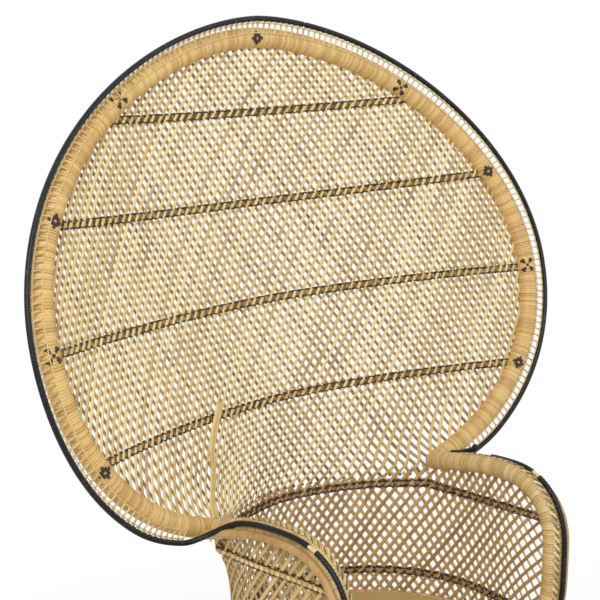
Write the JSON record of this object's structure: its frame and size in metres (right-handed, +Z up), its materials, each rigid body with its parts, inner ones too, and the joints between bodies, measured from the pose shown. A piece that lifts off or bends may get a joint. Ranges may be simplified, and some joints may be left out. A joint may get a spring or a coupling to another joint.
{
  "type": "peacock chair",
  "caption": "Wicker peacock chair: a tall round fan back and a bowl seat with wrapped arms, woven from split cane in crossed layers with dark twined bands, on a waisted round base.",
  "frame": {"origin": "middle of the chair's plan, on the floor", "axes": "+Z up, -Y towards the front of the seat, +X towards the sitter's left arm"},
  "size_m": [1.1024, 0.6338, 1.4472],
  "materials": {
    "woven_cane": "split cane, straw and honey coloured, satin skin side",
    "wrapped_cane": "narrow split cane wound side by side, honey coloured, satin",
    "bare_pole": "peeled rattan pole, orange brown, satin",
    "black_cane": "cane dyed black, semi-gloss with worn edges",
    "twined_band": "pairs of dark brown strands twined over pale canes, satin"
  },
  "bodies": {
    "root": {"floor_hoop": "wrapped_cane", "base_leg_1": "bare_pole", "base_leg_2": "bare_pole", "base_leg_3": "bare_pole", "base_leg_4": "bare_pole", "waist_hoop": "bare_pole", "base_lattice": "woven_cane", "base_band_foot": "twined_band", "base_band_waist": "twined_band", "base_band_top": "twined_band", "seat_hoop": "wrapped_cane", "seat_rail_long": "bare_pole", "seat_rail_front": "bare_pole", "seat_rail_back": "bare_pole", "seat_panel": "woven_cane", "bowl_lattice": "woven_cane", "bowl_band_upper": "twined_band", "bowl_band_lower": "twined_band", "fan_lattice": "woven_cane", "fan_band_low": "twined_band", "fan_band_middle": "twined_band", "fan_band_high": "twined_band", "fan_band_crown": "twined_band", "fan_ring_pole": "bare_pole", "fan_ring_wrap": "wrapped_cane", "fan_rim_loops": "woven_cane", "fan_rim_left": "black_cane", "fan_rim_right": "black_cane", "fan_rim_knob": "black_cane", "arm_pole_right": "bare_pole", "arm_pole_left": "bare_pole", "arm_wrap_right": "wrapped_cane", "arm_wrap_left": "wrapped_cane", "arm_outer_pole_right": "bare_pole", "arm_outer_pole_left": "bare_pole", "arm_rim_upper_right": "black_cane", "arm_rim_lower_right": "black_cane", "arm_rim_lower_left": "black_cane"}
  },
  "joints": []
}
